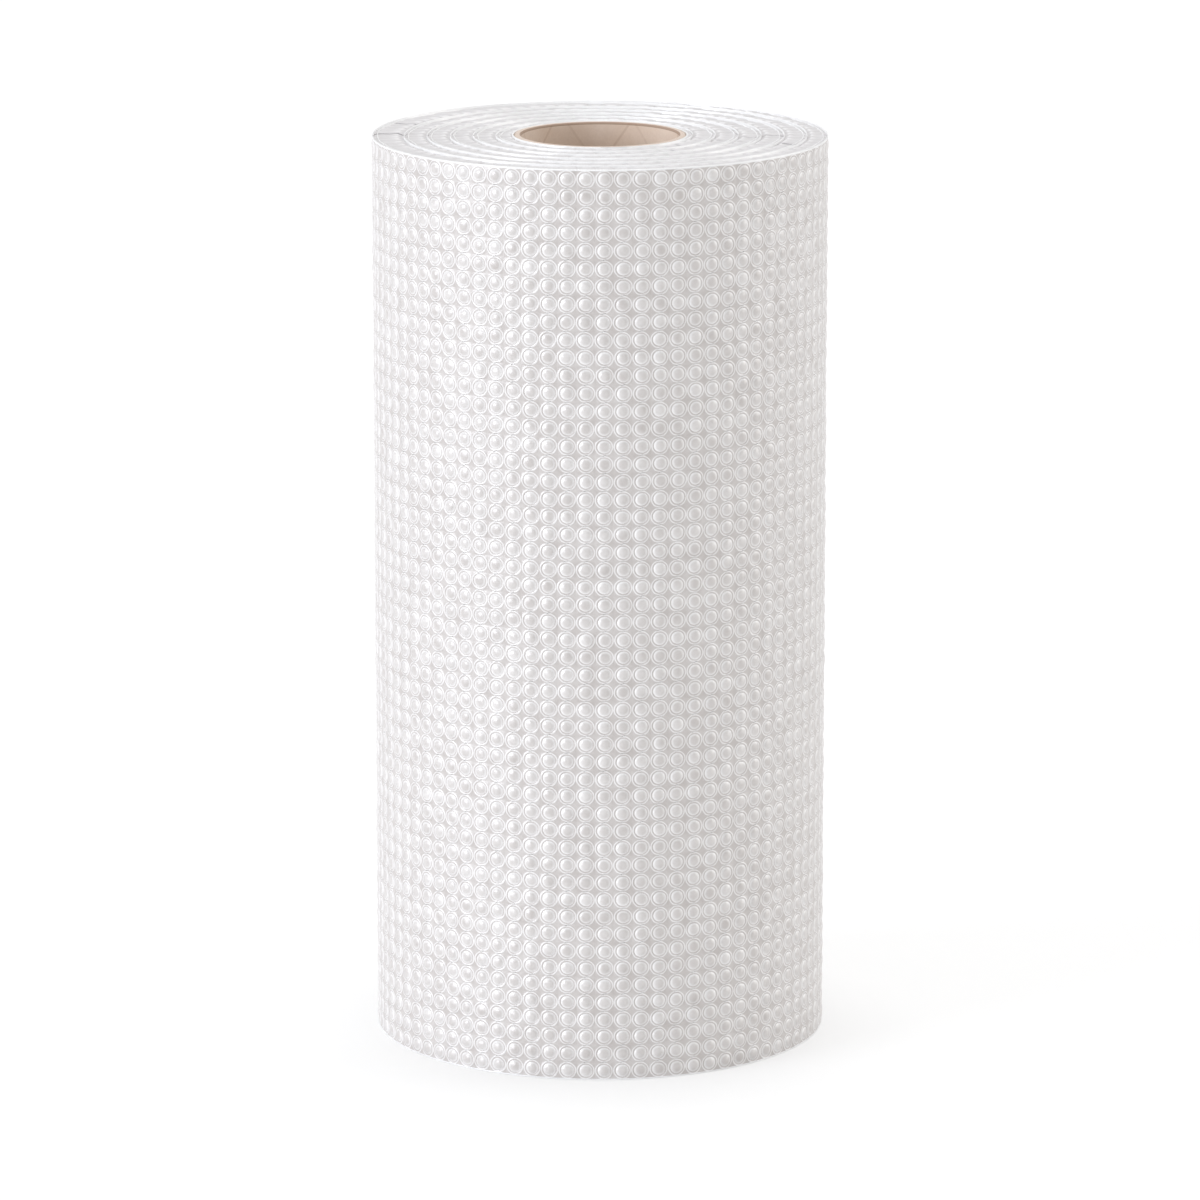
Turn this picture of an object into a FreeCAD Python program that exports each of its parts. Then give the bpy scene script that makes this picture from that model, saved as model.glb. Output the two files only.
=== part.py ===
import FreeCAD, Part

import math
import os

import Sketcher
from FreeCAD import Vector

# Roll of bubble film wound on a cardboard core, standing on its end.
# Millimetres, +Z up. The origin is on the core's axis, at the base.
# A place along the web is given in turns. Turn 0 is at the back of the roll (+Y), and
# the web winds anticlockwise seen from above.

SIZES = [
    ("roll_width", 500.0, "width of the web, which is the height of the standing roll"),
    ("core_bore", 86.0, "inner diameter of the core"),
    ("core_wall", 4.0, "thickness of the core's paper wall"),
    ("core_edge_wear", 0.8, "width by which the edges of the core are worn off"),
    ("core_fit", 0.2, "clearance between the core and the first turn"),
    ("turn_count", 6.0, "turns from the back of the roll to the tail"),
    ("lead_in", 0.5, "part of a turn that the web starts before turn 0"),
    ("web_thickness", 12.5, "growth of the radius with each turn"),
    ("last_turn_slack", 7.85, "how far the slack last turn stands proud"),
    ("slack_lead", 0.2, "part of a turn in which the last turn lifts"),
    ("turn_gap", 0.35, "gap between a turn and the film that it lies on"),
    ("step_bridge", 20.0, "length in which a turn climbs over the start of the web"),
    ("film_thickness", 0.9, "film between two bubbles"),
    ("bubble_pitch", 10.07, "distance from bubble to bubble along the web"),
    ("bubble_gap", 1.0, "distance between two bubbles where they leave the film"),
    ("cap_inset", 0.7, "how far a bubble draws in on each side towards its cap"),
    ("bubble_bulge", 0.3, "rise of the film over a column of bubbles"),
    ("bulge_share", 0.4, "part of the pitch over which the film rises and falls"),
    ("least_bubble", 1.2, "height under which a bubble is pressed flat"),
]

doc = FreeCAD.newDocument("bubble_film_roll")

sheet = doc.addObject("Spreadsheet::Sheet", "Sizes")
for row, (alias, value, meaning) in enumerate(SIZES, start=1):
    sheet.set(f"A{row}", alias)
    sheet.set(f"B{row}", str(value))
    sheet.set(f"C{row}", meaning)
    sheet.setAlias(f"B{row}", alias)
doc.recompute()


def origin_plane(body, role):
    for feature in body.Origin.OriginFeatures:
        if feature.Role == role:
            return feature
    raise ValueError(f"{body.Label} has no {role}")


# The core is a tube wound from kraft paper, as long as the web is wide.
def make_core():
    body = doc.addObject("PartDesign::Body", "cardboard_core")
    ring = body.newObject("Sketcher::SketchObject", "core_ring")
    ring.AttachmentSupport = [(origin_plane(body, "XY_Plane"), "")]
    ring.MapMode = "FlatFace"
    bore_radius = sheet.core_bore / 2
    circles = (
        ("bore", bore_radius, "Sizes.core_bore"),
        ("outside", bore_radius + sheet.core_wall, "Sizes.core_bore + 2 * Sizes.core_wall"),
    )
    for name, radius, diameter in circles:
        circle = ring.addGeometry(Part.Circle(Vector(0, 0, 0), Vector(0, 0, 1), radius))
        ring.addConstraint(Sketcher.Constraint("Coincident", circle, 3, -1, 1))
        size = ring.addConstraint(Sketcher.Constraint("Diameter", circle, 2 * radius))
        ring.renameConstraint(size, name)
        ring.setExpression(f"Constraints.{name}", diameter)

    tube = body.newObject("PartDesign::Pad", "core_tube")
    tube.Profile = ring
    tube.setExpression("Length", "Sizes.roll_width")
    doc.recompute()

    rims = []
    for number, edge in enumerate(tube.Shape.Edges, start=1):
        if edge.isClosed():
            rims.append(f"Edge{number}")
    worn_rims = body.newObject("PartDesign::Chamfer", "worn_rims")
    worn_rims.Base = (tube, rims)
    worn_rims.setExpression("Size", "Sizes.core_edge_wear")
    body.Tip = worn_rims
    return body


# The web of bubble film is one strip, wound from the core out to its free tail. Its flat
# film faces out, and the bubbles stand on the inner side of the film in columns that run
# the whole width of the roll. The single bubbles of a column aren't parted.
class Winding:
    def __init__(self):
        self.core_surface = sheet.core_bore / 2 + sheet.core_wall + sheet.core_fit
        self.first_turn = -sheet.lead_in
        self.last_turn = sheet.turn_count - 1
        self.film_room = sheet.film_thickness + sheet.bubble_bulge

    # The even spiral that the inner turns follow.
    def even_radius(self, turn):
        return self.core_surface + self.film_room + sheet.web_thickness * (turn - self.first_turn)

    # The outer side of the web. The last turn lifts off the spiral and runs round.
    def crest_radius(self, turn):
        lift = (turn - self.last_turn) / sheet.slack_lead + 0.5
        lift = min(max(lift, 0.0), 1.0)
        lift = lift * lift * (3 - 2 * lift)
        round_radius = self.even_radius(self.last_turn) + sheet.last_turn_slack
        return (1 - lift) * self.even_radius(turn) + lift * round_radius

    # What the web lies on: the core, then a slope over the web's own start, and then the
    # turn below.
    def bed_radius(self, turn):
        below = turn - 1
        if below >= self.first_turn:
            return self.crest_radius(below) + sheet.turn_gap
        step = self.crest_radius(self.first_turn) + sheet.turn_gap - self.core_surface
        bridge = sheet.step_bridge / (2 * math.pi * self.core_surface)
        climb = max(1 - (self.first_turn - below) / bridge, 0)
        return self.core_surface + step * climb

    # The inner side of the film, where the bubbles stand on it.
    def root_radius(self, turn):
        return max(self.crest_radius(turn) - self.film_room, self.bed_radius(turn))

    def after(self, turn, distance):
        return turn + distance / (2 * math.pi * self.crest_radius(turn))

    # Start and end of each column of bubbles, up to where no room for film is left.
    def columns(self):
        start = self.first_turn
        end = self.after(start, sheet.bubble_pitch)
        while self.crest_radius(end) - self.bed_radius(end) > self.film_room:
            yield start, end
            start = end
            end = self.after(start, sheet.bubble_pitch)


def web_point(turn, radius):
    angle = 2 * math.pi * (turn + 0.25)
    return Vector(radius * math.cos(angle), radius * math.sin(angle), 0)


# The flat film bows out over a column of bubbles and dips between two columns.
def film_points(winding, start, end):
    valley = winding.crest_radius(start) - sheet.bubble_bulge
    rise = start + (end - start) * sheet.bulge_share / 2
    fall = end - (end - start) * sheet.bulge_share / 2
    return [
        web_point(start, valley),
        web_point(rise, winding.crest_radius(rise)),
        web_point(fall, winding.crest_radius(fall)),
    ]


# A column of bubbles narrows from the film to its caps, which rest on the bed. Where the
# web is too thin, it is pressed flat.
def bubble_points(winding, start, end):
    middle = (start + end) / 2
    bed = winding.bed_radius(middle)
    root = winding.root_radius(middle)
    if root - bed < sheet.least_bubble:
        return [web_point(start, winding.root_radius(start)), web_point(middle, root)]
    root_start = winding.after(start, sheet.bubble_gap / 2)
    root_end = winding.after(end, -sheet.bubble_gap / 2)
    cap_start = winding.after(root_start, sheet.cap_inset)
    cap_end = winding.after(root_end, -sheet.cap_inset)
    return [
        web_point(root_start, winding.root_radius(root_start)),
        web_point(cap_start, winding.bed_radius(cap_start)),
        web_point(middle, bed),
        web_point(cap_end, winding.bed_radius(cap_end)),
        web_point(root_end, winding.root_radius(root_end)),
    ]


# The section runs along the film from the core to the tail, and back along the bubbles.
def make_web():
    winding = Winding()
    film_side = []
    bubble_side = []
    tail = winding.first_turn
    for start, end in winding.columns():
        film_side += film_points(winding, start, end)
        bubble_side += bubble_points(winding, start, end)
        tail = end
    film_side.append(web_point(tail, winding.crest_radius(tail) - sheet.bubble_bulge))
    bubble_side.append(web_point(tail, winding.root_radius(tail)))
    outline = film_side + bubble_side[::-1]
    section = doc.addObject("Part::Feature", "web_section")
    section.Shape = Part.Face(Part.makePolygon(outline + outline[:1]))

    web = doc.addObject("Part::Extrusion", "bubble_film")
    web.Base = section
    web.DirMode = "Custom"
    web.Dir = Vector(0, 0, 1)
    web.Solid = True
    web.setExpression("LengthFwd", "Sizes.roll_width")
    return web


pieces = [make_core(), make_web()]
doc.recompute()

for item in doc.Objects:
    if "Invalid" in item.State or "Error" in item.State:
        raise RuntimeError(f"{item.Label} did not build: {item.State}")

os.makedirs("parts", exist_ok=True)
for piece in pieces:
    if piece.Shape.isNull() or not piece.Shape.isValid():
        raise RuntimeError(f"{piece.Label} has no valid shape")
    piece.Shape.exportStep(f"parts/{piece.Label}.step")
    print(piece.Label, round(piece.Shape.Volume), len(piece.Shape.Solids), len(piece.Shape.Faces))
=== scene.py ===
import math
import random

import bpy
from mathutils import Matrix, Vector, noise


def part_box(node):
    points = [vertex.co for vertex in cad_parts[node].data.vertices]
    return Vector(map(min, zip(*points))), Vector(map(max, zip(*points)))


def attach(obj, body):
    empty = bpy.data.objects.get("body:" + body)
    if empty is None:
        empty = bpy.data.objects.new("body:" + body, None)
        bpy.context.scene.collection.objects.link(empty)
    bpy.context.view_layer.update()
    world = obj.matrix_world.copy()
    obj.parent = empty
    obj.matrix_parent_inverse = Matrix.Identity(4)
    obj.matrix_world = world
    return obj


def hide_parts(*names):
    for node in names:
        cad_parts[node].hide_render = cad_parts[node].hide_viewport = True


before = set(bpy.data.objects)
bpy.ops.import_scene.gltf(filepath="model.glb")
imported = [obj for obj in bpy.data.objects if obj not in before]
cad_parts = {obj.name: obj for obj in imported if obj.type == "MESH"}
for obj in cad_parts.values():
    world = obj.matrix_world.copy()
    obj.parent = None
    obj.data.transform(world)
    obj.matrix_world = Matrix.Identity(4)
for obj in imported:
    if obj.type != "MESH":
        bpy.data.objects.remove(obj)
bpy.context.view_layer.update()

# Cardboard core
# The real piece is a tube wound on a mandrel from strips of kraft paper, glued ply on ply
# and sawn to length. The saw and handling leave the rims rounded and rubbed pale; near each
# end the inner edge is coloured brown.
MM = 0.001
core_low, core_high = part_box("cardboard_core")
core_radius = (core_high[0] - core_low[0]) / 2
core_height = core_high[2] - core_low[2]
core_wall = 4.0 * MM
core_bore_radius = core_radius - core_wall
rim_rounding = 1.3 * MM
ply_lead = 380 * MM
ply_count = 6
ply_seam_width = 0.035
rubbed_depth = 0.7 * MM
brown_edge_width = 0.9 * MM
brown_edge_depth = 1.3 * MM


def linear(hex_colour):
    channels = [int(hex_colour[start:start + 2], 16) / 255 for start in (1, 3, 5)]
    values = [c / 12.92 if c <= 0.04045 else ((c + 0.055) / 1.055) ** 2.4 for c in channels]
    return (*values, 1.0)


def add_node(tree, kind, links=None, **settings):
    """Adds a node. A setting names a property or an input, and links give what feeds an input."""
    node = tree.nodes.new(kind)
    for name, value in settings.items():
        if hasattr(node, name):
            setattr(node, name, value)
        else:
            node.inputs[name.replace("_", " ")].default_value = value
    for name, source in (links or {}).items():
        tree.links.new(source, node.inputs[name])
    return node


def new_material(name):
    material = bpy.data.materials.new(name)
    material.use_nodes = True
    material.node_tree.nodes.clear()
    return material, material.node_tree


def finish_material(tree, shader):
    add_node(tree, "ShaderNodeOutputMaterial", {"Surface": shader.outputs[0]})


def math_nodes(tree):
    """A function that adds a math node to the tree, fed by sockets and plain numbers."""

    def maths(operation, *values):
        node = add_node(tree, "ShaderNodeMath", operation=operation)
        for index, value in enumerate(values):
            if isinstance(value, (int, float)):
                node.inputs[index].default_value = value
            else:
                tree.links.new(value, node.inputs[index])
        return node.outputs[0]

    return maths


def colour_mix(tree, factor, first, second):
    """Mixes two colours, each a socket or a fixed colour."""
    node = add_node(tree, "ShaderNodeMix", {"Factor": factor}, data_type="RGBA")
    for name, colour in (("A", first), ("B", second)):
        if isinstance(colour, tuple):
            node.inputs[name].default_value = colour
        else:
            tree.links.new(colour, node.inputs[name])
    return node.outputs["Result"]


def mesh_object(name, points, faces, smooth=True):
    mesh = bpy.data.meshes.new(name)
    mesh.from_pydata(points, [], faces)
    mesh.validate()
    if smooth:
        mesh.polygons.foreach_set("use_smooth", [True] * len(mesh.polygons))
    piece = bpy.data.objects.new(name, mesh)
    bpy.context.scene.collection.objects.link(piece)
    return piece


def core_profile():
    """The section of the wall, from the foot of the outside over the rim to the foot of the bore."""
    steps = 5
    profile = []
    upper = core_height - rim_rounding
    corners = (
        (core_radius, rim_rounding, 0, -90),
        (core_radius, upper, 0, 90),
        (core_bore_radius, upper, 90, 180),
        (core_bore_radius, rim_rounding, 180, 270),
    )
    for radius, height, first, last in corners:
        inward = -1 if radius == core_radius else 1
        angles = [first + (last - first) * step / steps for step in range(steps + 1)]
        if (radius, height) == (core_radius, rim_rounding):
            angles.reverse()
        for angle in angles:
            turn = math.radians(angle)
            across = radius + inward * rim_rounding + rim_rounding * math.cos(turn)
            profile.append((across, height + rim_rounding * math.sin(turn)))
    return profile


def turned(profile, segments):
    """Turns a closed section round the roll's axis."""
    points = []
    faces = []
    count = len(profile)
    for segment in range(segments):
        angle = 2 * math.pi * segment / segments
        for radius, height in profile:
            points.append((radius * math.cos(angle), radius * math.sin(angle), height))
    for segment in range(segments):
        following = (segment + 1) % segments
        for index in range(count):
            upper = (index + 1) % count
            faces.append(
                (
                    segment * count + index,
                    following * count + index,
                    following * count + upper,
                    segment * count + upper,
                )
            )
    return points, faces


# Kraft paperboard: matt fibre, faint slanting seams of the plies, cream, rubbed rims and a
# brown line along the inner edge near each end.
def kraft_paper():
    material, tree = new_material("kraft paperboard")
    maths = math_nodes(tree)
    place = add_node(tree, "ShaderNodeTexCoord").outputs["Object"]
    axes = add_node(tree, "ShaderNodeSeparateXYZ", {"Vector": place}).outputs
    turns = maths("DIVIDE", maths("ARCTAN2", axes["Y"], axes["X"]), 2 * math.pi)
    climb = maths("DIVIDE", axes["Z"], ply_lead)
    seams = []
    for lean, count in ((1, ply_count), (-1, ply_count + 1)):
        slant = maths("ADD", turns, maths("MULTIPLY", climb, lean))
        strip = maths("FRACT", maths("MULTIPLY", slant, count))
        seams.append(maths("LESS_THAN", strip, ply_seam_width * count / ply_count))
    seam = maths("ADD", maths("MULTIPLY", seams[0], 0.26), maths("MULTIPLY", seams[1], 0.16))
    fibre = add_node(
        tree, "ShaderNodeTexNoise", {"Vector": place}, Scale=900.0, Detail=4.0, Roughness=0.6
    )
    cloud = add_node(tree, "ShaderNodeTexNoise", {"Vector": place}, Scale=60.0, Detail=3.0)
    tone = colour_mix(tree, cloud.outputs["Fac"], linear("#D6C1AE"), linear("#EFE0D3"))
    speck = colour_mix(tree, maths("MULTIPLY", fibre.outputs["Fac"], 0.3), tone, linear("#A88A70"))
    seamed = colour_mix(tree, seam, speck, linear("#A98D76"))
    from_middle = maths("ABSOLUTE", maths("SUBTRACT", axes["Z"], core_height / 2))
    rubbed = add_node(
        tree,
        "ShaderNodeMapRange",
        {"Value": from_middle},
        From_Min=core_height / 2 - rubbed_depth,
        From_Max=core_height / 2 - 0.2 * MM,
    )
    worn = colour_mix(tree, rubbed.outputs[0], seamed, linear("#D8C8BB"))
    # A brown line along the inner edge near each end of the tube.
    squares = maths("ADD", maths("POWER", axes["X"], 2.0), maths("POWER", axes["Y"], 2.0))
    on_bore = maths("LESS_THAN", maths("SQRT", squares), core_bore_radius + brown_edge_width)
    near_end = maths("GREATER_THAN", from_middle, core_height / 2 - brown_edge_depth)
    brown_bore_line = maths("MULTIPLY", maths("MULTIPLY", on_bore, near_end), 0.75)
    worn = colour_mix(tree, brown_bore_line, worn, linear("#8F7460"))
    bump = add_node(
        tree, "ShaderNodeBump", {"Height": fibre.outputs["Fac"]}, Strength=0.25, Distance=0.1 * MM
    )
    shader = add_node(
        tree,
        "ShaderNodeBsdfPrincipled",
        {"Base Color": worn, "Normal": bump.outputs["Normal"]},
        Roughness=0.85,
    )
    finish_material(tree, shader)
    return material


core = mesh_object("core_tube", *turned(core_profile(), 144))
core.data.materials.append(kraft_paper())
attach(core, "root")
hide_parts("cardboard_core")

# Winding of the web
# The web is one strip of film, wound from the front of the core anticlockwise to its tail
# at the back. The inner turns follow an even spiral, and the slack last turn runs round.
web_low, web_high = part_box("bubble_film")
roll_radius = (web_high[0] - web_low[0]) / 2
roll_height = web_high[2] - web_low[2]
web_thickness = 12.5 * MM
first_turn = -0.5
last_turn = 5.0
tail_turn = 6.035
slack_lead = 0.2
turn_gap = 0.35 * MM
step_bridge = 20 * MM
core_clearance = 0.2 * MM
last_slack = 7.85 * MM
column_count = 78
bubble_pitch = 2 * math.pi * roll_radius / column_count
row_count = 52
edge_margin = 0.4 * MM
row_pitch = (roll_height - 2 * edge_margin) / row_count


def even_radius(turn):
    """The even spiral, counted inward from the full radius of the roll."""
    return roll_radius - last_slack + web_thickness * (turn - last_turn)


def lift_of(turn):
    lift = min(max((turn - last_turn) / slack_lead + 0.5, 0.0), 1.0)
    return lift * lift * (3 - 2 * lift)


def crest_radius(turn):
    lift = lift_of(turn)
    return (1 - lift) * even_radius(turn) + lift * roll_radius


def bed_radius(turn):
    core_surface = core_radius + core_clearance
    if turn - 1 >= first_turn:
        return crest_radius(turn - 1) + turn_gap
    step = crest_radius(first_turn) + turn_gap - core_surface
    climb = max(1 - (first_turn - turn + 1) * 2 * math.pi * core_surface / step_bridge, 0)
    return core_surface + step * climb


def web_point(turn, radius, height):
    angle = 2 * math.pi * (turn + 0.25)
    return (radius * math.cos(angle), radius * math.sin(angle), height)


# Milky LDPE film: blown polyethylene, hazy where it is thick or stretched and clearer at
# the welds, with a soft plastic gloss. The haze is stored on the mesh or given by welds, and
# it also carries painted light: painted highlights on the bubbles' rings and on the crowns at
# the ends, and the painted brightness of the cut edges.
def milky_film(name, clear, hazy_and_highlight, roughness, sagging, welds=None):
    material, tree = new_material(name)
    maths = math_nodes(tree)
    place = add_node(tree, "ShaderNodeTexCoord").outputs["Object"]
    haze_and_highlight = add_node(tree, "ShaderNodeAttribute", attribute_name="haze_and_highlight").outputs["Fac"]
    cloud = add_node(tree, "ShaderNodeTexNoise", {"Vector": place}, Scale=140.0, Detail=3.0)
    uneven = maths("MULTIPLY", maths("SUBTRACT", cloud.outputs["Fac"], 0.5), 0.6)
    wrinkle = add_node(
        tree, "ShaderNodeTexNoise", {"Vector": place}, Scale=420.0, Detail=2.0, Distortion=0.6
    )
    sag = add_node(tree, "ShaderNodeTexNoise", {"Vector": place}, Scale=95.0)
    height = maths("MULTIPLY", wrinkle.outputs["Fac"], 0.07 * MM)
    height = maths("ADD", height, maths("MULTIPLY", sag.outputs["Fac"], sagging))
    if welds:
        haze_and_highlight, relief = welds(tree, maths)
        height = maths("ADD", height, relief)
    amount = maths("MINIMUM", maths("MAXIMUM", maths("ADD", haze_and_highlight, uneven), 0.0), 1.0)
    colour = colour_mix(tree, amount, linear(clear), linear(hazy_and_highlight))
    bump = add_node(tree, "ShaderNodeBump", {"Height": height}, Strength=1.0, Distance=1.0)
    shader = add_node(
        tree,
        "ShaderNodeBsdfPrincipled",
        {"Base Color": colour, "Normal": bump.outputs["Normal"]},
        Roughness=roughness,
        IOR=1.55,
        Specular_IOR_Level=1.0,
    )
    finish_material(tree, shader)
    return material


def set_haze_and_highlight(piece, values):
    layer = piece.data.attributes.new("haze_and_highlight", "FLOAT", "POINT")
    layer.data.foreach_set("value", values)


film = milky_film("milky LDPE film", "#D2CFD0", "#F6F4F5", 0.3, 0.15 * MM)

# Outer turn
# The last turn of the web, with 52 rows of bubbles. Each bubble is a disc of air between
# two films, welded round its rim: a raised bead, a groove and a pillow inside. Distances
# from the middle of a bubble, and the heights of its rings, are in millimetres.
bubble_rings = (
    (1.5, 0.38), (2.6, 0.24), (3.15, 0.10), (3.5, 0.0), (4.0, 0.0), (4.4, 0.13), (4.75, 0.0),
)
bubble_top = 0.42
bubble_sides = 12
film_radius = roll_radius - 0.75 * MM
# The haze over a bubble is partly painted light: the white bead ring is stretched weld film with a
# painted highlight on it, and the bright ring on the pillow's shoulder is a painted highlight.
weld_haze_and_highlights = (
    (0.0, 0.22), (2.0, 0.25), (2.6, 0.48), (3.0, 0.74), (3.25, 0.74), (3.5, 0.15), (3.9, 0.0),
    (4.1, 0.38), (4.35, 0.72), (4.62, 0.72), (4.80, 0.32), (4.92, 0.08), (7.0, 0.08),
)
dome_relief = (
    (0.0, 1.0), (1.0, 0.92), (2.0, 0.67), (2.7, 0.38), (3.2, 0.12), (3.5, 0.0), (7.0, 0.0),
)
bead_relief = ((0.0, 0.0), (3.8, 0.0), (4.45, 1.0), (4.95, 0.0), (7.0, 0.0))
pillow_radius = 3.4
dome_height = 0.62 * MM
bead_height = 0.20 * MM
weld_span = 7.0
weld_squeeze = 0.965
luck_low = 10.0
luck_high = 11.0
luck_middle = (luck_low + luck_high) / 2


def ramp_over_radius(tree, radius, stops, interpolation):
    """A value that changes with the distance from the middle of a bubble, in millimetres."""
    share = math_nodes(tree)("DIVIDE", radius, weld_span)
    ramp = add_node(tree, "ShaderNodeValToRGB", {"Fac": share})
    ramp.color_ramp.interpolation = interpolation
    elements = ramp.color_ramp.elements
    for place, value in stops[1:-1]:
        elements.new(place / weld_span)
    for element, (place, value) in zip(elements, stops):
        element.color = (value, value, value, 1)
    return ramp.outputs["Color"]


def round_welds(tree, maths):
    """Haze with painted highlights, and relief of the welds, from each point's place on its bubble."""
    spot = add_node(tree, "ShaderNodeAttribute", attribute_name="spot").outputs["Vector"]
    luck = add_node(tree, "ShaderNodeAttribute", attribute_name="luck").outputs["Vector"]
    sides = add_node(tree, "ShaderNodeSeparateXYZ", {"Vector": spot}).outputs
    chance = add_node(tree, "ShaderNodeSeparateXYZ", {"Vector": luck}).outputs
    squeezed = add_node(tree, "ShaderNodeVectorMath", {0: spot}, operation="MULTIPLY")
    squeezed.inputs[1].default_value = (weld_squeeze, 1.0, 1.0)
    length = add_node(tree, "ShaderNodeVectorMath", {0: squeezed.outputs[0]}, operation="LENGTH")
    distance = length.outputs["Value"]
    shifted = add_node(tree, "ShaderNodeVectorMath", {0: spot, 1: luck}, operation="ADD")
    ripple = add_node(tree, "ShaderNodeTexNoise", {"Vector": shifted.outputs[0]}, Scale=0.45)
    rippled = maths("MULTIPLY", maths("SUBTRACT", ripple.outputs["Fac"], 0.5), 0.35)
    pulled = maths("ADD", distance, rippled)
    haze_and_highlight = ramp_over_radius(tree, pulled, weld_haze_and_highlights, "LINEAR")
    inside = maths("LESS_THAN", pulled, pillow_radius)
    milkier = maths("MULTIPLY", maths("SUBTRACT", chance["Z"], luck_middle), 0.2)
    haze_and_highlight = maths("ADD", haze_and_highlight, maths("MULTIPLY", milkier, inside))
    dome = maths("MULTIPLY", ramp_over_radius(tree, pulled, dome_relief, "B_SPLINE"), dome_height)
    dome = maths("MULTIPLY", dome, maths("MULTIPLY_ADD", chance["Z"], 0.6, -5.3))
    bead = maths("MULTIPLY", ramp_over_radius(tree, distance, bead_relief, "B_SPLINE"), bead_height)
    relief = maths("ADD", dome, bead)
    lean_x = maths("MULTIPLY", sides["X"], maths("SUBTRACT", chance["X"], luck_middle))
    lean_y = maths("MULTIPLY", sides["Y"], maths("SUBTRACT", chance["Y"], luck_middle))
    lean = maths("MULTIPLY", maths("MULTIPLY", maths("ADD", lean_x, lean_y), inside), 0.10 * MM)
    return haze_and_highlight, maths("ADD", relief, lean)


outer_film = milky_film(
    "milky LDPE film of the outer turn", "#C1BBB8", "#FDFCFC", 0.33, 1.0 * MM, round_welds
)


def bubble_cell():
    """One bubble on its rectangle of film, lying flat, with the relief along Z."""
    points = [(0.0, 0.0, bubble_top * MM)]
    for radius, height in bubble_rings:
        for side in range(bubble_sides):
            angle = 2 * math.pi * (side + 0.5) / bubble_sides
            across = radius * MM
            points.append((across * math.cos(angle), across * math.sin(angle), height * MM))
    faces = []
    for side in range(bubble_sides):
        following = (side + 1) % bubble_sides
        faces.append((0, 1 + side, 1 + following))
        for ring in range(len(bubble_rings) - 1):
            inner = 1 + ring * bubble_sides
            outer = inner + bubble_sides
            faces.append((inner + side, outer + side, outer + following, inner + following))
    half_x = bubble_pitch / 2
    half_y = row_pitch / 2
    border = [
        (half_x, -half_y), (half_x, 0.0), (half_x, half_y), (0.0, half_y),
        (-half_x, half_y), (-half_x, 0.0), (-half_x, -half_y), (0.0, -half_y),
    ]
    first_border = len(points)
    points += [(x, y, 0.0) for x, y in border]
    rim = 1 + (len(bubble_rings) - 1) * bubble_sides
    rings = []
    for start, count in ((rim, bubble_sides), (first_border, len(border))):
        angles = [(math.atan2(points[i][1], points[i][0]) % (2 * math.pi), i)
                  for i in range(start, start + count)]
        rings.append(sorted(angles))
    faces += stitched(*rings)
    cell = mesh_object("bubble_cell", points, faces)
    layer = cell.data.attributes.new("spot", "FLOAT_VECTOR", "CORNER")
    spots = []
    for loop in cell.data.loops:
        x, y, z = points[loop.vertex_index]
        spots += [x / MM, y / MM, 0.0]
    layer.data.foreach_set("vector", spots)
    return cell


def stitched(inner_ring, outer_ring):
    """Triangles between two rings of (angle, point), both in order of their angle."""
    faces = []
    inner_count = len(inner_ring)
    outer_count = len(outer_ring)
    inner = 0
    outer = 0
    while inner < inner_count or outer < outer_count:
        here = inner_ring[inner % inner_count][1]
        there = outer_ring[outer % outer_count][1]
        inner_angle, inner_point = inner_ring[(inner + 1) % inner_count]
        outer_angle, outer_point = outer_ring[(outer + 1) % outer_count]
        inner_angle += 2 * math.pi * ((inner + 1) // inner_count)
        outer_angle += 2 * math.pi * ((outer + 1) // outer_count)
        if outer >= outer_count or (inner < inner_count and inner_angle <= outer_angle):
            faces.append((here, there, inner_point))
            inner += 1
        else:
            faces.append((here, there, outer_point))
            outer += 1
    return faces


def tree_with_inputs(name, inputs):
    """A Geometry Nodes tree whose group inputs have the given names, kinds and values."""
    tree = bpy.data.node_groups.new(name, "GeometryNodeTree")
    tree.interface.new_socket("Geometry", in_out="OUTPUT", socket_type="NodeSocketGeometry")
    sockets = {}
    for label, kind, value in inputs:
        socket = tree.interface.new_socket(label, in_out="INPUT", socket_type=f"NodeSocket{kind}")
        sockets[label] = (socket.identifier, value)
    return tree, sockets


def grown_mesh(name, tree, sockets):
    """Runs a tree on an empty object and keeps the result as a plain mesh."""
    carrier = mesh_object(name + "_carrier", [], [])
    modifier = carrier.modifiers.new("nodes", "NODES")
    modifier.node_group = tree
    for identifier, value in sockets.values():
        modifier[identifier] = value
    depsgraph = bpy.context.evaluated_depsgraph_get()
    mesh = bpy.data.meshes.new_from_object(carrier.evaluated_get(depsgraph))
    mesh.name = name
    bpy.data.objects.remove(carrier)
    piece = bpy.data.objects.new(name, mesh)
    bpy.context.scene.collection.objects.link(piece)
    return piece


band_rows = 13
column_wander = 2.4 * MM
slack_wave_height = 0.9 * MM


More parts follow.
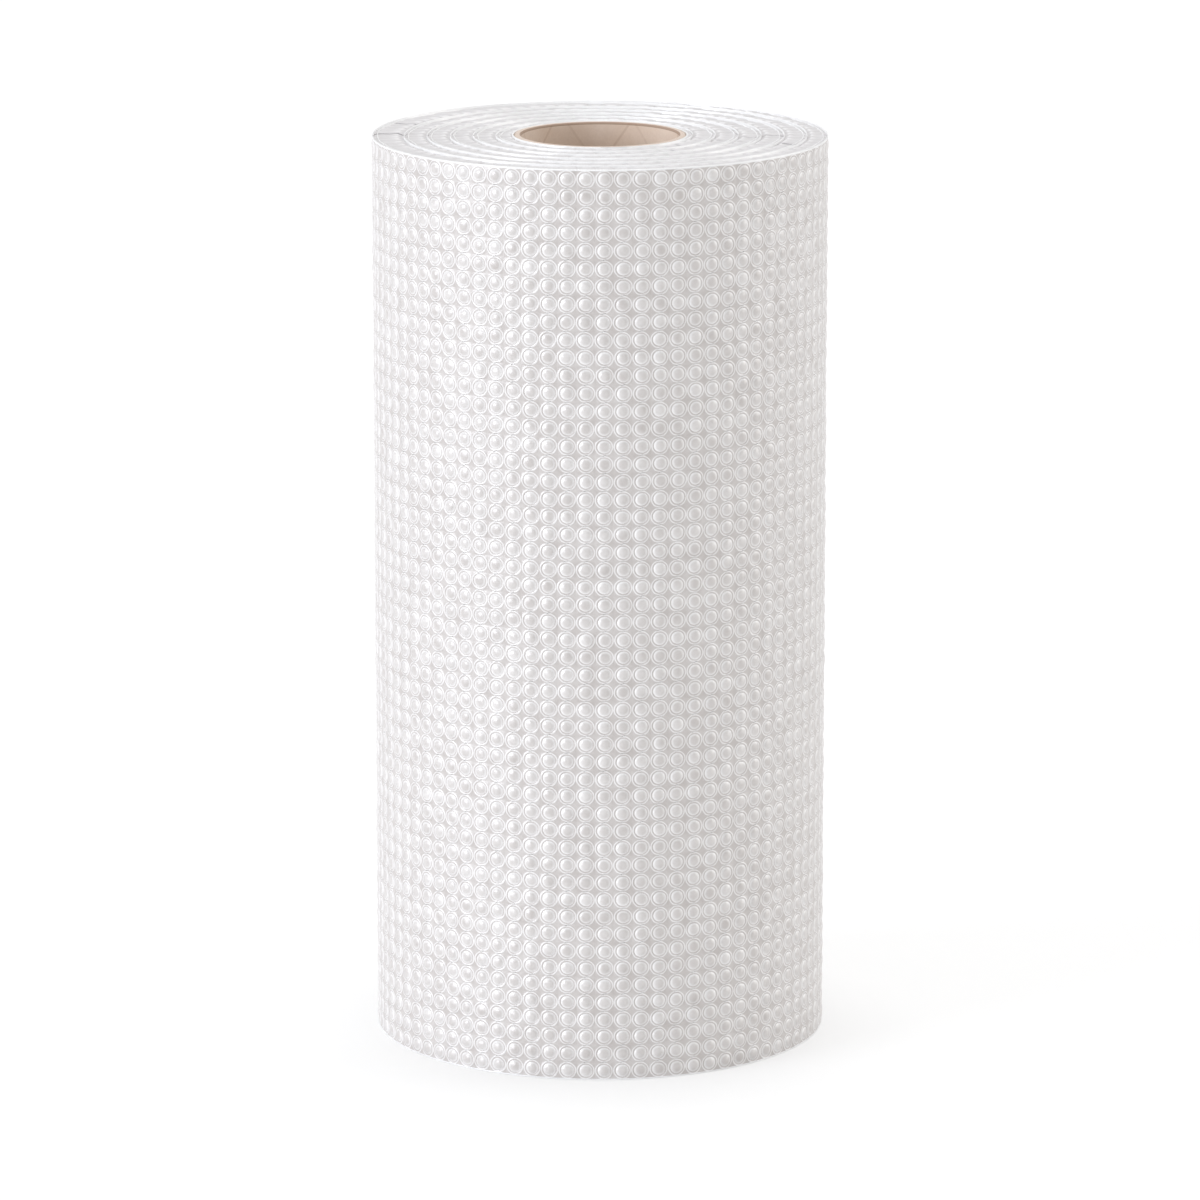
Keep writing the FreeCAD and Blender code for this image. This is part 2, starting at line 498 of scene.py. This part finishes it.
def bubble_field_tree(cell):
    """A band of bubbles, laid flat on a grid and then wound round the roll."""
    inputs = [
        ("Bubble", "Object", cell),
        ("Columns", "Int", column_count),
        ("Rows", "Int", band_rows),
        ("Pitch Along", "Float", bubble_pitch),
        ("Pitch Across", "Float", row_pitch),
        ("Film Radius", "Float", film_radius),
        ("Start Height", "Float", edge_margin),
        ("Tail Turn", "Float", tail_turn - last_turn),
        ("Slack Lead", "Float", slack_lead),
        ("Slack", "Float", last_slack),
        ("Seed", "Int", 1),
        ("Height", "Float", roll_height),
        ("Film", "Material", outer_film),
    ]
    tree, sockets = tree_with_inputs("bubble field", inputs)
    given = add_node(tree, "NodeGroupInput").outputs
    maths = math_nodes(tree)
    length = maths("MULTIPLY", given["Pitch Along"], maths("SUBTRACT", given["Columns"], 1))
    height = maths("MULTIPLY", given["Pitch Across"], maths("SUBTRACT", given["Rows"], 1))
    grid = add_node(
        tree,
        "GeometryNodeMeshGrid",
        {
            "Size X": length,
            "Size Y": height,
            "Vertices X": given["Columns"],
            "Vertices Y": given["Rows"],
        },
    )
    info = add_node(tree, "GeometryNodeObjectInfo", {"Object": given["Bubble"]})
    swell = add_node(tree, "FunctionNodeRandomValue", {"Seed": given["Seed"]}, data_type="FLOAT")
    swell.inputs[2].default_value = 0.72
    swell.inputs[3].default_value = 1.12
    size = add_node(tree, "ShaderNodeCombineXYZ", {"Z": swell.outputs[1]}, X=1.0, Y=1.0)
    bubbles = add_node(
        tree,
        "GeometryNodeInstanceOnPoints",
        {"Points": grid.outputs["Mesh"], "Instance": info.outputs["Geometry"], "Scale": size.outputs[0]},
    )
    luck = add_node(
        tree, "FunctionNodeRandomValue", {"Seed": given["Seed"]}, data_type="FLOAT_VECTOR"
    )
    luck.inputs["Min"].default_value = (luck_low, luck_low, luck_low)
    luck.inputs["Max"].default_value = (luck_high, luck_high, luck_high)
    marked = add_node(
        tree,
        "GeometryNodeStoreNamedAttribute",
        {"Geometry": bubbles.outputs["Instances"]},
        data_type="FLOAT_VECTOR",
        domain="INSTANCE",
    )
    marked.inputs["Name"].default_value = "luck"
    tree.links.new(luck.outputs[0], marked.inputs["Value"])
    whole = add_node(tree, "GeometryNodeRealizeInstances", {"Geometry": marked.outputs["Geometry"]})

    place = add_node(tree, "GeometryNodeInputPosition")
    flat = add_node(tree, "ShaderNodeSeparateXYZ", {"Vector": place.outputs[0]})
    along = maths("ADD", flat.outputs["X"], maths("MULTIPLY", length, 0.5))
    along = maths("ADD", along, maths("MULTIPLY", given["Pitch Along"], 0.5))
    across = maths("ADD", flat.outputs["Y"], maths("MULTIPLY", height, 0.5))
    across = maths("ADD", across, maths("MULTIPLY", given["Pitch Across"], 0.5))
    across = maths("ADD", across, given["Start Height"])
    circumference = maths("MULTIPLY", given["Pitch Along"], given["Columns"])
    turns = maths("DIVIDE", along, circumference)
    turns_past = maths("ADD", turns, maths("SUBTRACT", given["Tail Turn"], 1.0))
    lift = add_node(
        tree,
        "ShaderNodeMapRange",
        {
            "Value": turns_past,
            "From Min": maths("MULTIPLY", given["Slack Lead"], -0.5),
            "From Max": maths("MULTIPLY", given["Slack Lead"], 0.5),
        },
        interpolation_type="SMOOTHSTEP",
    )
    drop = maths("MULTIPLY", maths("SUBTRACT", 1.0, lift.outputs[0]), given["Slack"])
    angle = maths("MULTIPLY", maths("ADD", turns_past, 0.25), 2 * math.pi)
    unrolled = add_node(tree, "ShaderNodeCombineXYZ", {"X": along, "Y": across, "Z": given["Seed"]})
    wander = add_node(
        tree, "ShaderNodeTexNoise", {"Vector": unrolled.outputs[0]}, Scale=28.0, Detail=1.0
    )
    spread = add_node(tree, "ShaderNodeSeparateXYZ", {"Vector": wander.outputs["Color"]})
    shift_along = maths("MULTIPLY", maths("SUBTRACT", spread.outputs[0], 0.5), column_wander)
    share = maths("DIVIDE", across, given["Height"])
    from_end = maths("MULTIPLY", maths("MULTIPLY", share, maths("SUBTRACT", 1.0, share)), 12.0)
    slack_wave = maths("SUBTRACT", spread.outputs[2], 0.62)
    slack_wave = maths("MULTIPLY", slack_wave, slack_wave_height)
    slack_wave = maths("MULTIPLY", maths("MINIMUM", slack_wave, 0.0), maths("MINIMUM", from_end, 1.0))
    angle = maths("ADD", angle, maths("DIVIDE", shift_along, given["Film Radius"]))
    radius = maths("ADD", given["Film Radius"], flat.outputs["Z"])
    radius = maths("ADD", maths("SUBTRACT", radius, drop), slack_wave)
    wound = add_node(
        tree,
        "ShaderNodeCombineXYZ",
        {
            "X": maths("MULTIPLY", radius, maths("COSINE", angle)),
            "Y": maths("MULTIPLY", radius, maths("SINE", angle)),
            "Z": across,
        },
    )
    placed = add_node(
        tree,
        "GeometryNodeSetPosition",
        {"Geometry": whole.outputs["Geometry"], "Position": wound.outputs[0]},
    )
    welded = add_node(tree, "GeometryNodeMergeByDistance", {"Geometry": placed.outputs["Geometry"]})
    welded.inputs["Distance"].default_value = 0.02 * MM
    smooth = add_node(tree, "GeometryNodeSetShadeSmooth", {"Geometry": welded.outputs["Geometry"]})
    coated = add_node(
        tree,
        "GeometryNodeSetMaterial",
        {"Geometry": smooth.outputs["Geometry"], "Material": given["Film"]},
    )
    add_node(tree, "NodeGroupOutput", {"Geometry": coated.outputs["Geometry"]})
    return tree, sockets


cell = bubble_cell()
field_tree, field_sockets = bubble_field_tree(cell)
for band in range(row_count // band_rows):
    start_height = edge_margin + band * band_rows * row_pitch
    field_sockets["Start Height"] = (field_sockets["Start Height"][0], start_height)
    piece = grown_mesh(f"outer_turn_{band + 1}", field_tree, field_sockets)
    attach(piece, "root")
bpy.data.objects.remove(cell)
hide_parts("bubble_film")

# Film edges
# At each end of the roll the cut edges of the two films show as a double spiral. Light
# that runs inside the film leaves it there, so the edges look brighter than the faces.
# The outermost edge has a thin rim of its own, and the first film lies on the core.
edge_film = milky_film("cut edge of LDPE film", "#D8D7D7", "#F9F9F9", 0.3, 0.15 * MM)
film_edge_width = 0.38 * MM
film_edge_depth = 6 * MM
film_edge_steps = 156


def film_edge_tree():
    inputs = [
        ("Path", "Object", None),
        ("Thickness", "Float", film_edge_width),
        ("Depth", "Float", film_edge_depth),
        ("Film", "Material", edge_film),
    ]
    tree, sockets = tree_with_inputs("film edge", inputs)
    given = add_node(tree, "NodeGroupInput").outputs
    info = add_node(tree, "GeometryNodeObjectInfo", {"Object": given["Path"]})
    path = add_node(tree, "GeometryNodeMeshToCurve", {"Mesh": info.outputs["Geometry"]})
    upright = add_node(tree, "GeometryNodeSetCurveNormal", {"Curve": path.outputs["Curve"]}, mode="Z_UP")
    section = add_node(
        tree,
        "GeometryNodeCurvePrimitiveQuadrilateral",
        {"Width": given["Thickness"], "Height": given["Depth"]},
    )
    rounded = add_node(tree, "GeometryNodeFilletCurve", {"Curve": section.outputs["Curve"]}, mode="POLY")
    rounded.inputs["Count"].default_value = 1
    rounded.inputs["Radius"].default_value = film_edge_width * 0.3
    wall = add_node(
        tree,
        "GeometryNodeCurveToMesh",
        {"Curve": upright.outputs["Curve"], "Profile Curve": rounded.outputs["Curve"]},
    )
    wall.inputs["Fill Caps"].default_value = True
    smooth = add_node(tree, "GeometryNodeSetShadeSmooth", {"Geometry": wall.outputs["Mesh"]})
    coated = add_node(
        tree,
        "GeometryNodeSetMaterial",
        {"Geometry": smooth.outputs["Geometry"], "Material": given["Film"]},
    )
    add_node(tree, "NodeGroupOutput", {"Geometry": coated.outputs["Geometry"]})
    return tree, sockets


def unevenness(turn, seed, waves):
    """A slow, even-tempered wave along the web between -1 and 1."""
    angle = 2 * math.pi * turn
    return noise.noise((waves * math.cos(angle), waves * math.sin(angle), turn * 0.7 + seed))


def film_path(first, last, radius_of, level):
    """The middle line of a film edge along the web."""
    count = int((last - first) * film_edge_steps)
    turns = [first + (last - first) * step / count for step in range(count + 1)]
    return [web_point(turn, radius_of(turn), level) for turn in turns]


film_inset = roll_radius - film_radius + film_edge_width / 2 + 0.15 * MM
core_film_width = 0.9 * MM
rim_inset = 0.70 * MM
film_sway = 0.25 * MM
weld_inset = 2.3 * MM
weld_sway = 0.9 * MM
curled_up = 0.5 * MM


def film_line(turn):
    sway = 0.0 if turn > last_turn else film_sway * unevenness(turn, 3.0, 5.0)
    return max(crest_radius(turn) - film_inset - sway, core_line(turn))


def weld_line(turn):
    sway = weld_sway * unevenness(turn, 4.0, 5.0)
    return max(crest_radius(turn) - film_inset - weld_inset - sway, core_line(turn))


def core_line(turn):
    return core_radius + core_clearance + core_film_width / 2


def rim_line(turn):
    return crest_radius(turn) - rim_inset


outer_start = tail_turn - 1
# Each run has its name, first and last turn, line, width, distance from the end and depth.
edge_runs = (
    ("outer_rim", outer_start, tail_turn, rim_line, 0.3 * MM, 0.1 * MM, 0.7 * MM),
    ("film_edge", first_turn, outer_start, film_line, film_edge_width, 0.0, film_edge_depth),
    ("outer_film_edge", outer_start, tail_turn, film_line, film_edge_width, 0.0, 5 * MM),
    ("welded_film_edge", first_turn + 0.3, tail_turn - 0.12, weld_line, 0.45 * MM, 0.3 * MM, 3 * MM),
    ("core_film_edge", first_turn, first_turn + 1.05, core_line, core_film_width, 0.0, 3 * MM),
)
edge_tree, edge_sockets = film_edge_tree()
for end_name, end_level, inward in (("top", roll_height, -1), ("bottom", 0.0, 1)):
    for name, first, last, radius_of, thickness, sunk, depth in edge_runs:
        if name == "outer_film_edge" and end_name == "bottom":
            sunk = curled_up
        points = film_path(first, last, radius_of, end_level + inward * (depth / 2 + sunk))
        pairs = [(i, i + 1) for i in range(len(points) - 1)]
        path = mesh_object(f"{name}_path", points, [])
        path.data.edges.add(len(pairs))
        path.data.edges.foreach_set("vertices", [end for pair in pairs for end in pair])
        for label, value in (("Path", path), ("Thickness", thickness), ("Depth", depth)):
            edge_sockets[label] = (edge_sockets[label][0], value)
        edge = grown_mesh(f"{name}_{end_name}", edge_tree, edge_sockets)
        set_haze_and_highlight(edge, [0.8] * len(edge.data.vertices))
        bpy.data.objects.remove(path)
        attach(edge, "root")

# End bubbles
# Between two turns the first row of bubbles is seen from its side: rounded pockets of air
# across the gap, each ending in a cap that lies on the turn below. A station of a crown is
# its share of the way from film to cap, its height in millimetres and its haze. On the middle
# of the crown the high haze near the cap is a painted highlight, the white dash of gloss on
# each crown's top.
crown_stations = (
    (0.00, -0.7, 0.40),
    (0.06, -0.25, 0.35),
    (0.24, 0.10, 0.25),
    (0.52, 0.00, 0.20),
    (0.66, 0.30, 0.50),
    (0.78, 0.34, 1.00),
    (0.88, -0.25, 0.20),
    (1.00, -0.8, 0.10),
)
crown_sides = 8
crown_valley = 0.6 * MM
crown_depth = 0.5 * MM
least_crown = 0.3 * MM
flank_haze = 0.15
end_floor_depth = 5.6 * MM


def bubble_crown():
    """The upper end of a bubble. X is across it and Y goes from the film to the cap."""
    points = []
    haze_and_highlight = []
    for depth, height, amount in crown_stations:
        for side in range(crown_sides + 1):
            turn = math.pi * side / crown_sides
            rise = height * MM - crown_valley * (1 - math.sin(turn))
            points.append((0.5 * math.cos(turn), depth, rise))
            # The middle sides take the station's haze, so the white near the cap is a painted highlight;
            # the flanks keep a plain haze.
            haze_and_highlight.append(amount if 3 <= side <= crown_sides - 3 else flank_haze)
    faces = []
    row = crown_sides + 1
    for station in range(len(crown_stations) - 1):
        for side in range(crown_sides):
            first = station * row + side
            faces.append((first, first + row, first + row + 1, first + 1))
    crown = mesh_object("bubble_crown", points, faces)
    set_haze_and_highlight(crown, haze_and_highlight)
    return crown


def end_bubble_tree():
    """A crown on each column, bent round the roll and stretched from its film to its bed."""
    inputs = [
        ("Crown", "Object", None),
        ("Columns", "Object", None),
        ("Level", "Float", 0.0),
        ("Upright", "Float", 1.0),
        ("Under Side", "Bool", False),
        ("Film", "Material", film),
    ]
    tree, sockets = tree_with_inputs("end bubbles", inputs)
    given = add_node(tree, "NodeGroupInput").outputs
    maths = math_nodes(tree)

    def carried(name):
        node = add_node(tree, "GeometryNodeInputNamedAttribute", data_type="FLOAT")
        node.inputs["Name"].default_value = name
        return node.outputs["Attribute"]

    columns = add_node(tree, "GeometryNodeObjectInfo", {"Object": given["Columns"]})
    crown = add_node(tree, "GeometryNodeObjectInfo", {"Object": given["Crown"]})
    crowns = add_node(
        tree,
        "GeometryNodeInstanceOnPoints",
        {"Points": columns.outputs["Geometry"], "Instance": crown.outputs["Geometry"]},
    )
    whole = add_node(tree, "GeometryNodeRealizeInstances", {"Geometry": crowns.outputs["Instances"]})
    place = add_node(tree, "GeometryNodeInputPosition")
    local = add_node(tree, "ShaderNodeSeparateXYZ", {"Vector": place.outputs[0]})
    root = carried("root")
    span = maths("SUBTRACT", root, carried("bed"))
    radius = maths("SUBTRACT", root, maths("MULTIPLY", local.outputs["Y"], span))
    swing = maths("DIVIDE", maths("MULTIPLY", local.outputs["X"], carried("width")), root)
    angle = maths("ADD", maths("MULTIPLY", maths("ADD", carried("turn"), 0.25), 2 * math.pi), swing)
    rise = maths("SUBTRACT", local.outputs["Z"], carried("sag"))
    wound = add_node(
        tree,
        "ShaderNodeCombineXYZ",
        {
            "X": maths("MULTIPLY", radius, maths("COSINE", angle)),
            "Y": maths("MULTIPLY", radius, maths("SINE", angle)),
            "Z": maths("ADD", given["Level"], maths("MULTIPLY", rise, given["Upright"])),
        },
    )
    placed = add_node(
        tree,
        "GeometryNodeSetPosition",
        {"Geometry": whole.outputs["Geometry"], "Position": wound.outputs[0]},
    )
    turned_over = add_node(
        tree,
        "GeometryNodeFlipFaces",
        {"Mesh": placed.outputs["Geometry"], "Selection": given["Under Side"]},
    )
    smooth = add_node(tree, "GeometryNodeSetShadeSmooth", {"Geometry": turned_over.outputs["Mesh"]})
    coated = add_node(
        tree,
        "GeometryNodeSetMaterial",
        {"Geometry": smooth.outputs["Geometry"], "Material": given["Film"]},
    )
    add_node(tree, "NodeGroupOutput", {"Geometry": coated.outputs["Geometry"]})
    return tree, sockets


def bubble_columns(name, seed):
    """Points along the web, one for each column of bubbles, with what places its crown."""
    chance = random.Random(seed)
    turns = []
    turn = first_turn
    while turn < tail_turn - 1:
        turns.append(turn)
        turn += bubble_pitch / (2 * math.pi * crest_radius(turn))
    turns += [tail_turn - 1 + (column + 0.5) / column_count for column in range(column_count)]
    carried = {"turn": [], "root": [], "bed": [], "width": [], "sag": []}
    for turn in turns:
        root = crest_radius(turn) - film_inset - film_edge_width / 2
        bed = max(bed_radius(turn) - film_inset - 0.2 * MM, core_radius + core_clearance)
        if root - bed < least_crown:
            continue
        carried["turn"].append(turn + chance.uniform(-0.03, 0.03) / column_count)
        carried["root"].append(root)
        carried["bed"].append(bed)
        carried["width"].append(bubble_pitch * chance.uniform(1.07, 1.12))
        carried["sag"].append(crown_depth + chance.uniform(-0.1, 0.45) * MM)
    columns = mesh_object(name, [(0.0, 0.0, 0.0)] * len(carried["turn"]), [])
    for label, values in carried.items():
        layer = columns.data.attributes.new(label, "FLOAT", "POINT")
        layer.data.foreach_set("value", values)
    return columns


def ring_mesh(name, inner, outer, level, upright):
    points = []
    faces = []
    segments = 156
    for segment in range(segments):
        angle = 2 * math.pi * segment / segments
        for radius in (inner, outer):
            points.append((radius * math.cos(angle), radius * math.sin(angle), level))
        first = 2 * segment
        following = 2 * ((segment + 1) % segments)
        face = (first, first + 1, following + 1, following)
        faces.append(face if upright else face[::-1])
    return mesh_object(name, points, faces, smooth=False)


crown = bubble_crown()
crown_tree, crown_sockets = end_bubble_tree()
for end_name, level, upright in (("top", roll_height, 1.0), ("bottom", 0.0, -1.0)):
    columns = bubble_columns(f"{end_name}_columns", 11 if upright > 0 else 12)
    values = (
        ("Crown", crown), ("Columns", columns), ("Level", level), ("Upright", upright),
        ("Under Side", upright < 0),
    )
    for label, value in values:
        crown_sockets[label] = (crown_sockets[label][0], value)
    row = grown_mesh(f"end_bubbles_{end_name}", crown_tree, crown_sockets)
    bpy.data.objects.remove(columns)
    floor_level = level - upright * end_floor_depth
    backing = ring_mesh(
        f"next_row_{end_name}", core_radius - 0.1 * MM, film_radius - 0.5 * MM, floor_level, upright > 0
    )
    backing.data.materials.append(film)
    set_haze_and_highlight(backing, [0.3] * len(backing.data.vertices))
    for piece in (row, backing):
        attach(piece, "root")
bpy.data.objects.remove(crown)

# Tail
# The free end of the web is cut between two columns of bubbles and lies on the turn below.
tail_reach = last_slack * (1 - lift_of(tail_turn - 1)) + 0.3 * MM
tail_lead = 0.5 * MM


def tail_edge():
    outer = film_radius
    inner = film_radius - tail_reach
    angle = 2 * math.pi * (tail_turn + 0.25)
    outward = Vector((math.cos(angle), math.sin(angle), 0))
    along = Vector((-math.sin(angle), math.cos(angle), 0))
    section = (
        outward * inner - along * tail_lead,
        outward * inner + along * 0.3 * tail_lead,
        outward * (outer - 0.3 * tail_lead) + along * 0.5 * tail_lead,
        outward * outer + along * 0.2 * tail_lead,
        outward * outer - along * tail_lead,
    )
    heights = (edge_margin * 0.2, roll_height - edge_margin * 0.2)
    points = [(corner.x, corner.y, height) for height in heights for corner in section]
    count = len(section)
    faces = [(i, (i + 1) % count, (i + 1) % count + count, i + count) for i in range(count)]
    faces += [tuple(range(count))[::-1], tuple(range(count, 2 * count))]
    return points, faces


tail = mesh_object("tail_edge", *tail_edge(), smooth=False)
tail.data.materials.append(edge_film)
# The cut end takes the bright edge colour: painted light, for the light that leaves the film at its cut.
set_haze_and_highlight(tail, [0.8] * len(tail.data.vertices))
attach(tail, "root")

# Floor and light
# A plain pale floor under plain soft light: a broad, low key from the left of the camera, a
# soft lamp high above and behind, a weak one from the right, and an even surround. The
# camera sees the floor a little brighter than it lights the roll.
floor_half = 40.0
floor = mesh_object(
    "floor",
    [(-floor_half, -floor_half, 0), (floor_half, -floor_half, 0), (floor_half, floor_half, 0),
     (-floor_half, floor_half, 0)],
    [(0, 1, 2, 3)],
    smooth=False,
)


def studio_floor():
    material, tree = new_material("white studio floor")
    maths = math_nodes(tree)
    path = add_node(tree, "ShaderNodeLightPath").outputs
    seen = maths("MAXIMUM", path["Is Camera Ray"], path["Is Glossy Ray"])
    seen = maths("MAXIMUM", seen, path["Is Transmission Ray"])
    paper = add_node(tree, "ShaderNodeBsdfDiffuse")
    shade = colour_mix(tree, seen, (0.80, 0.80, 0.80, 1), (0.62, 0.62, 0.62, 1))
    tree.links.new(shade, paper.inputs["Color"])
    glow = add_node(tree, "ShaderNodeEmission", {"Strength": maths("MULTIPLY", seen, 0.38)})
    both = add_node(tree, "ShaderNodeAddShader", {0: paper.outputs[0], 1: glow.outputs[0]})
    finish_material(tree, both)
    return material


floor.data.materials.append(studio_floor())


def soft_sun(name, azimuth, elevation, strength, size, colour):
    """A distant soft lamp. Azimuth is seen from above, from the camera's side to the right."""
    lamp = bpy.data.lights.new(name, "SUN")
    lamp.energy = strength
    lamp.angle = math.radians(size)
    lamp.color = linear(colour)[:3]
    holder = bpy.data.objects.new(name, lamp)
    across = math.radians(azimuth)
    up = math.radians(elevation)
    towards = Vector((math.sin(across) * math.cos(up), -math.cos(across) * math.cos(up), math.sin(up)))
    holder.rotation_euler = towards.to_track_quat("Z", "Y").to_euler()
    bpy.context.scene.collection.objects.link(holder)


soft_sun("key", -62, 6.5, 2.25, 34, "#F3F7FF")
soft_sun("top", 180, 85, 0.7, 16, "#FFFFFF")
soft_sun("edge", 98, 13, 0.76, 40, "#FFFDFB")

world = bpy.data.worlds.new("studio")
world.use_nodes = True
surround = world.node_tree.nodes["Background"]
surround.inputs["Color"].default_value = (1, 1, 1, 1)
surround.inputs["Strength"].default_value = 0.73
bpy.context.scene.world = world

# Camera
# The camera looks slightly down on the roll from the front, through a long lens.
camera_distance = 3.632
camera_height = 1.058
camera_tilt = 12.70
camera_lens = 201.7
camera_data = bpy.data.cameras.new("camera")
camera_data.lens = camera_lens
camera_data.sensor_width = 36
camera = bpy.data.objects.new("camera", camera_data)
camera.location = (0, -camera_distance, camera_height)
camera.rotation_euler = (math.radians(90 - camera_tilt), 0, 0)
bpy.context.scene.collection.objects.link(camera)
bpy.context.scene.camera = camera
bpy.context.scene.view_settings.view_transform = "Standard"
